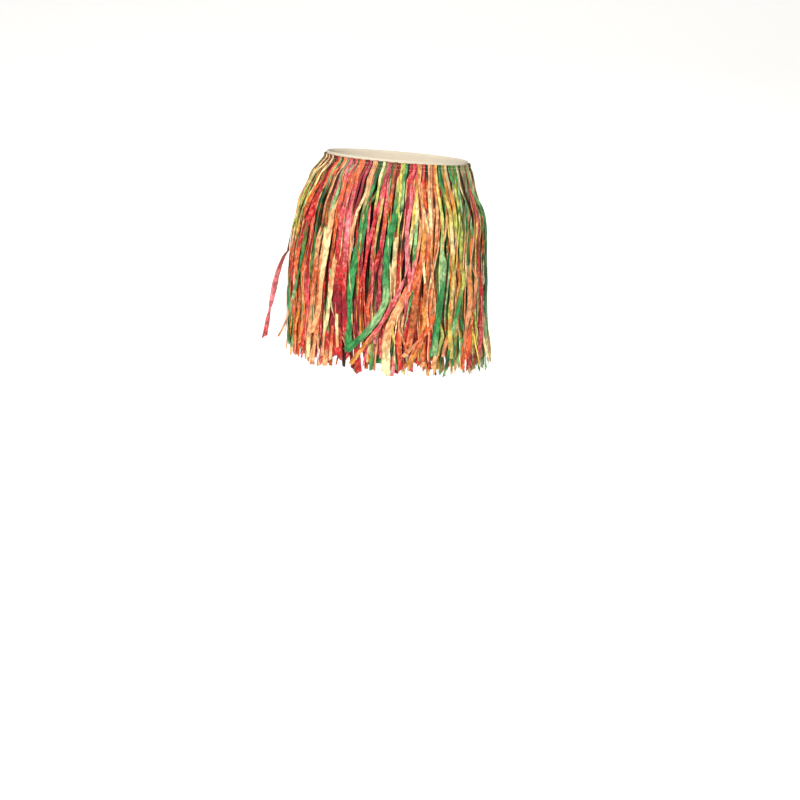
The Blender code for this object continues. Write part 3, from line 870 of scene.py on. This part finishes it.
HEAD_OVER = 0.9 * MM
SHOWN_FROM_THE_HEAD = 30 * MM
SHOWN_TO_THE_END = 330 * MM
SEEN_EDGE = math.sin(math.radians(80))
SEEN_ROUNDS = 6
SEEN_LEVEL = 21.9 * MM
WALK_STEPS = 110
WALK_TO = LONGEST_CUT + 40 * MM


def seen_at(across, below, outside):
    """The bearing and drop of a point outside the hips that is seen at this place from the front."""
    bearing, drop = 0.0, below
    for _ in range(SEEN_ROUNDS):
        half_width, half_depth, centre_x, centre_y = hips_at(drop)
        forward = (half_depth + outside) * math.cos(bearing) - centre_y
        nearer = 1 - forward / CAMERA_DISTANCE
        share = (across * nearer - centre_x) / (half_width + outside)
        bearing = math.asin(float(np.clip(share, -SEEN_EDGE, SEEN_EDGE)))
        drop = (below * nearer - forward * math.sin(CAMERA_RISE)) / math.cos(CAMERA_RISE)
        drop = max(drop + float(waist_lift(bearing)), 0.0)
    return bearing, drop


def seen_route(strip):
    """The bearings of the shown part of a charted strip, and how far down the strip each one is."""
    bearings, lengths = [], []
    walked = np.linspace(0, WALK_TO, WALK_STEPS)
    for k, across in enumerate(strip.places):
        bearing, drop = seen_at(across * MM, strip.top * MM + k * CHART_STEP, SEEN_LEVEL)
        bearings.append(bearing)
        lengths.append(float(np.interp(drop, drops_along(np.full(WALK_STEPS, bearing), walked), walked)))
    return bearings, lengths


def charted_path(strip, number, level, route, draw):
    """The path of a charted strip, over its neighbours where it shows and under them elsewhere."""
    bearings, lengths = route
    first, last = lengths[0], lengths[-1]
    cut = last if last >= SHOWN_TO_THE_END else draw.uniform(SHORTEST_CUT, LONGEST_CUT)
    along = np.linspace(HEADING_FOOT - HEADING_TOP, cut, round(cut / ROW_STEP))
    bearing = curve_through(lengths, bearings, np.clip(along, first, last))
    from_head = first < SHOWN_FROM_THE_HEAD
    shown = np.ones_like(along) if from_head else smooth((along - first + TUCK_RUN) / TUCK_RUN)
    if cut > last:
        shown = shown * (1 - smooth((along - last + TUCK_RUN / 2) / TUCK_RUN))
    start = heading_offset(number) + (HEAD_OVER if from_head else -HEAD_UNDER)
    hang = TUCKED_LEVEL + (level * MM - TUCKED_LEVEL) * shown
    outside = start + (hang - start) * smooth(along / LOOSE_HANG_AFTER)
    outside += strip.flies * MM * np.maximum((along - cut) / FLY_RUN + 1, 0) ** 2
    return path_of(along, bearing, outside, float(bearing[0]))


def sector_of(bearing):
    return int((bearing + math.pi) / (2 * math.pi) * SECTORS) % SECTORS


print(len(CHARTED_STRIPS) + len(CROSSING_STRIPS), "charted strips")

# %% [markdown]
# A bundle is all the strips of one sewn run. It stands for the run of the same number in the measured
# model, and has every strip of it, with the slim and the charted ones besides.
# %% Laying a bundle
SLIM_HEAD = 5 * MM
SLIM_COLUMNS = 4
WIDE_COLUMNS = 6
HEAD_OVERLAP = 1.02
HEAD_MIDDLE = 6 * MM
WIDE_STRIP = 12 * MM
STRAY_PINCH = 308 * MM


def lay_charted(bm, layers, chart, levels, number, sector):
    """Adds the strips of a chart whose heads are in this run."""
    for i, strip in enumerate(chart):
        route = seen_route(strip)
        if sector_of(route[0][0]) != sector:
            continue
        draw = random.Random(f"{SEED}-charted-{strip.top}-{strip.places[0]}")
        path = charted_path(strip, number, levels[i % len(levels)], route, draw)
        width = strip.width * MM
        pinches = pinch_places(draw.choice((0, 1)), path.along[-1], draw)
        shape = Shape(width, min(width, SLIM_HEAD), draw.uniform(-0.5, 0.5), WIDE_COLUMNS, pinches, 0)
        colours = dyed_by_list(strip.dyes.split(), path.along, route[1][0], route[1][-1])
        lay_ribbon(bm, layers, path, shape, colours, draw)


def lay_fillers(bm, layers, kind, number, sector):
    """Adds the slim strips of one kind to a run."""
    filler = FILLERS[kind]
    for i in range(filler.count):
        draw = random.Random(f"{SEED}-filler-{kind}-{sector}-{i}")
        bearing = -math.pi + (sector + (i + draw.random()) / filler.count) * 2 * math.pi / SECTORS
        width = draw.uniform(filler.narrow, filler.wide) * MM
        path = filler_path(filler, number, bearing, draw)
        pinches = pinch_places(draw.choice((0, 1, 2)), path.along[-1], draw)
        shape = Shape(width, min(width, SLIM_HEAD), draw.uniform(-0.9, 0.9), SLIM_COLUMNS, pinches, 0)
        lay_ribbon(bm, layers, path, shape, hung_colours(kind, bearing, path.along, draw), draw)


def sewn_colours(kind, strip, path, draw):
    """The dyes of a sewn strip: by its own list, in the order of its dips, or from its zone with painted
    shade by the waist.
    """
    if strip.loose and " " in strip.loose.dyes:
        return dyed_by_list(strip.loose.dyes.split(), path.along, 0, strip.cut)
    if strip.loose:
        return dyed_in_turn(DIPS[strip.loose.dyes], path.along, draw)
    return hung_colours(kind, strip.bearing, path.along, draw)


def bundle(row, number, sector):
    """All the ribbons of one sewn run, in place of its solid."""
    bm = bmesh.new()
    layers = (bm.verts.layers.float_color.new("dye"), bm.verts.layers.float_vector.new("fibre"))
    charted = row.name == "outer" and sector in CHARTED_SECTORS
    # The full strips behind the charted ones get heavy painted shade by the waist, so the gaps between
    # charted strips read dark.
    kind = "backing" if charted else row.name
    share = row.strips // SECTORS
    lane = 2 * math.pi / row.strips
    for strip in sewn[row.name][sector * share : (sector + 1) * share]:
        draw = random.Random(f"{SEED}-looks-{row.name}-{strip.bearing:.4f}")
        head = HEAD_OVERLAP * lane * distance_per_radian(strip.bearing, HEAD_MIDDLE)
        path = sewn_path(row, number, strip)
        pinches, turned = pinch_places(draw.choice((0, 1, 1, 2)), strip.cut, draw), 0
        if strip.loose:
            pinches = pinches[:1] if strip.width < WIDE_STRIP else []
            if strip.loose.turned:
                pinches = [STRAY_PINCH]
            turned = smooth((path.along - LOOSE_TURN_FROM) / (LOOSE_TURN_TO - LOOSE_TURN_FROM))
            turned = turned * math.radians(strip.loose.turned)
        shape = Shape(strip.width, head, strip.slant, WIDE_COLUMNS, pinches, turned)
        lay_ribbon(bm, layers, path, shape, sewn_colours(kind, strip, path, draw), draw)
    lay_fillers(bm, layers, "front" if charted else row.name, number, sector)
    if row.name == "outer":
        lay_fillers(bm, layers, "over", number, sector)
    if charted:
        lay_charted(bm, layers, CHARTED_STRIPS, CHARTED_LEVELS, number, sector)
        lay_charted(bm, layers, CROSSING_STRIPS, CROSSING_LEVELS, number, sector)
    return bm


# %% Making the bundles
RAFFIA_THICKNESS = 0.35 * MM


def finished(name, bm, material, thickness=None):
    """An object at the origin from a finished bmesh, smooth shaded."""
    mesh = bpy.data.meshes.new(name)
    bm.to_mesh(mesh)
    bm.free()
    mesh.polygons.foreach_set("use_smooth", [True] * len(mesh.polygons))
    mesh.materials.append(material)
    made = bpy.data.objects.new(name, mesh)
    bpy.context.scene.collection.objects.link(made)
    if thickness:
        wall = made.modifiers.new("Thickness", "SOLIDIFY")
        wall.thickness = thickness
        wall.offset = 0
    return made


for number, row in enumerate(ROWS):
    for sector in range(SECTORS):
        made = finished(
            f"{row.name}_ribbons_{sector + 1}", bundle(row, number, sector), raffia.material, RAFFIA_THICKNESS
        )
        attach(made, "root")
        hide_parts(f"{row.name}_strips_{sector + 1}")

# %% [markdown]
# ## The waist elastic
# The strips hang from a cream woven elastic, of which only the top edge shows over their heads. It is a
# ring of upright ribs. A plain tube would read as plastic, so its edges wave slightly, as they do on a
# band that is sewn and stretched, and the ribs are drawn in the finish.
# %% The elastic band
ELASTIC_HEIGHT = 24 * MM
ELASTIC_THICKNESS = 1.2 * MM
ELASTIC_STEPS = 288
ELASTIC_LEVELS = 5
RUFFLES = 72
RUFFLE_DEPTH = 0.5 * MM
BEARINGS = np.linspace(0, 2 * math.pi, 720, endpoint=False)
ELASTIC_LENGTH = 2 * math.pi * float(np.mean([distance_per_radian(b, 0) for b in BEARINGS]))
RIB_PITCH = 1.6 * MM
RIBS = round(ELASTIC_LENGTH / RIB_PITCH)
PICK_PITCH = 1.1 * MM

elastic_finish = Finish("cream_elastic")
weave = elastic_finish.attribute("weave", "Vector")
around, upward = (elastic_finish.node("ShaderNodeSeparateXYZ", None, {0: weave}, axis) for axis in (0, 1))
ribs = 0.5 + 0.5 * (around * (2 * math.pi * RIBS)).sine()
picks = 0.5 + 0.5 * (upward * (2 * math.pi / PICK_PITCH)).sine()
wear = elastic_finish.noise(elastic_finish.node("ShaderNodeTexCoord", output="Object"), (60, 60, 60))
elastic_finish.surface(
    Base_Color=elastic_finish.brightened((0.88, 0.80, 0.66), 0.78 + 0.16 * ribs + 0.06 * picks + 0.10 * wear),
    Roughness=0.62 + 0.15 * wear,
    Sheen_Weight=0.15,
    Normal=elastic_finish.bumped(ribs + 0.4 * picks, 0.0003, 0.9),
)

bm = bmesh.new()
weave_layer = bm.loops.layers.float_vector.new("weave")
bmesh.ops.create_circle(bm, segments=ELASTIC_STEPS, radius=1.0)
for _ in range(ELASTIC_LEVELS - 1):
    rim = [edge for edge in bm.edges if edge.verts[0].co.z == edge.verts[1].co.z and len(edge.link_faces) < 2]
    top = max(edge.verts[0].co.z for edge in rim)
    rim = [edge for edge in rim if edge.verts[0].co.z == top]
    made = bmesh.ops.extrude_edge_only(bm, edges=rim)["geom"]
    bmesh.ops.translate(bm, verts=[g for g in made if isinstance(g, bmesh.types.BMVert)], vec=(0, 0, 1))
for face in bm.faces:
    turns = [math.atan2(loop.vert.co.x, -loop.vert.co.y) / (2 * math.pi) for loop in face.loops]
    for loop, turn in zip(face.loops, turns):
        turn += 1 if max(turns) - turn > 0.5 else 0
        loop[weave_layer] = (turn, loop.vert.co.z / (ELASTIC_LEVELS - 1) * ELASTIC_HEIGHT, 0)
for vert in bm.verts:
    level = vert.co.z / (ELASTIC_LEVELS - 1)
    bearing = math.atan2(vert.co.x, -vert.co.y)
    height = (level - 0.5) * ELASTIC_HEIGHT
    ruffle = -RUFFLE_DEPTH * 0.5 * (1 + math.sin(RUFFLES * bearing)) * abs(2 * level - 1)
    place = surface_points(bearing, 0.0, ruffle - ELASTIC_THICKNESS / 2)
    vert.co = (place[0], place[1], height + float(waist_lift(bearing)))
bmesh.ops.recalc_face_normals(bm, faces=bm.faces)
elastic = finished("elastic_band", bm, elastic_finish.material, ELASTIC_THICKNESS)
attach(elastic, "root")
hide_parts("waist_elastic")
print("elastic", round(ELASTIC_LENGTH, 3), "m round")

# %% [markdown]
# ## Stitching
# Two rows of running stitches hold the heads to the elastic. Each stitch is a small stretched ball of
# thread, because at this distance only its bright dot and its shadow show.
# %% Running stitches
STITCH_HEIGHTS = (1.5 * MM, -5.5 * MM)
STITCH_PITCH = 5 * MM
STITCH_HALF_LENGTH = 1.5 * MM
STITCH_RADIUS = 0.35 * MM
STITCH_OUTSIDE = 1.7 * MM
STITCH_UNEVEN = 0.2

thread = Finish("cream_thread")
twist = thread.noise(thread.node("ShaderNodeTexCoord", output="Object"), (2500, 2500, 2500))
thread.surface(
    Base_Color=thread.brightened((0.86, 0.78, 0.64), 0.7 + 0.4 * twist),
    Roughness=0.6 + 0.1 * twist,
    Normal=thread.bumped(twist, 0.0001),
)

bm = bmesh.new()
stitches = round(ELASTIC_LENGTH / STITCH_PITCH)
for height in STITCH_HEIGHTS:
    for i in range(stitches):
        draw = random.Random(f"{SEED}-stitch-{height}-{i}")
        bearing = 2 * math.pi * (i + STITCH_UNEVEN * draw.random()) / stitches
        outside = heading_offset(2) + STITCH_OUTSIDE
        place = surface_points(bearing, max(-height, 0.0), outside)
        ball = bmesh.ops.create_uvsphere(bm, u_segments=6, v_segments=4, radius=1.0)["verts"]
        bmesh.ops.scale(bm, verts=ball, vec=(STITCH_HALF_LENGTH, STITCH_RADIUS, STITCH_RADIUS))
        tangent = Vector((ELASTIC_HALF_WIDTH * math.cos(bearing), ELASTIC_HALF_DEPTH * math.sin(bearing), 0))
        turned = tangent.to_track_quat("X", "Z").to_matrix()
        bmesh.ops.rotate(bm, verts=ball, matrix=turned)
        lifted = height + float(waist_lift(bearing))
        bmesh.ops.translate(bm, verts=ball, vec=(place[0], place[1], lifted))
stitching = finished("heading_stitches", bm, thread.material)
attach(stitching, "root")
print(2 * stitches, "stitches")

# %% [markdown]
# ## Studio
# The photograph is a cut-out on white, so the stage is a roll of white paper, which glows a little as a
# lit backdrop does. It is only as wide as the view at its far end, because a wider one would light the
# skirt from below and wash its shadows out. A soft light stands at the front left, a larger and weaker one
# at the front right, and a third behind. The camera stands a little above the waist and 3.5 m away.
# %% Floor and backdrop
FLOOR_DEPTH = 1.0
PAPER_HALF_WIDTH = 2.3
PAPER_FRONT = -1.3
PAPER_BACK = 6.0
PAPER_BEND = 2.0
PAPER_RISE = 0.35
stage_finish = Finish("stage_white")
stage_finish.surface(
    Base_Color=(0.92, 0.92, 0.92, 1.0),
    Roughness=0.9,
    Emission_Color=(1.0, 1.0, 1.0, 1.0),
    Emission_Strength=0.5,
)
bm = bmesh.new()
floor = bmesh.ops.create_grid(bm, x_segments=1, y_segments=16, size=0.5)["verts"]
for vert in floor:
    vert.co.x *= 2 * PAPER_HALF_WIDTH
    vert.co.y = PAPER_FRONT + (vert.co.y + 0.5) * (PAPER_BACK - PAPER_FRONT)
    vert.co.z = -FLOOR_DEPTH + max(vert.co.y - PAPER_BEND, 0.0) ** 2 * PAPER_RISE
stage = finished("studio_floor", bm, stage_finish.material)
print("the paper rises", round(PAPER_RISE * (PAPER_BACK - PAPER_BEND) ** 2, 2), "m to its back edge")

# %% Lights
AIM = Vector((0, 0, -0.2))


def soft_light(name, place, size, power, colour):
    lamp = bpy.data.lights.new(name, "AREA")
    lamp.color = colour
    lamp.size = size
    lamp.energy = power
    holder = bpy.data.objects.new(name, lamp)
    holder.location = place
    holder.rotation_euler = (AIM - Vector(place)).to_track_quat("-Z", "Y").to_euler()
    bpy.context.scene.collection.objects.link(holder)


soft_light("key", (-1.3, -2.8, 1.7), 0.8, 112, (1.0, 0.95, 0.85))
soft_light("fill", (2.2, -2.4, 0.5), 1.6, 32, (1.0, 0.96, 0.88))
soft_light("back", (0.4, 2.4, 1.8), 1.6, 30, (1.0, 1.0, 1.0))
world = bpy.data.worlds.new("studio_air")
world.use_nodes = True
world.node_tree.nodes["Background"].inputs["Color"].default_value = (1, 1, 1, 1)
world.node_tree.nodes["Background"].inputs["Strength"].default_value = 0.24
bpy.context.scene.world = world
bpy.context.scene.view_settings.view_transform = "Standard"
print("lights", sorted(lamp.name for lamp in bpy.data.lights))

# %% Camera
PICTURE = 800
LENS = 78.75
SENSOR = 36.0
WAIST_PIXEL_X = 397.5
WAIST_PIXEL_Y = 161.5
focal_pixels = LENS / SENSOR * PICTURE
pitch = CAMERA_RISE + math.atan((PICTURE / 2 - WAIST_PIXEL_Y) / focal_pixels)
shift_x = (PICTURE / 2 - WAIST_PIXEL_X) / focal_pixels * CAMERA_DISTANCE
view = bpy.data.cameras.new("photographer")
view.lens = LENS
view.sensor_width = SENSOR
camera = bpy.data.objects.new("photographer", view)
camera.location = (shift_x, -CAMERA_DISTANCE * math.cos(CAMERA_RISE), CAMERA_DISTANCE * math.sin(CAMERA_RISE))
camera.rotation_euler = (math.pi / 2 - pitch, 0, 0)
bpy.context.scene.collection.objects.link(camera)
bpy.context.scene.camera = camera
print("camera looks down", round(math.degrees(pitch), 1), "degrees")
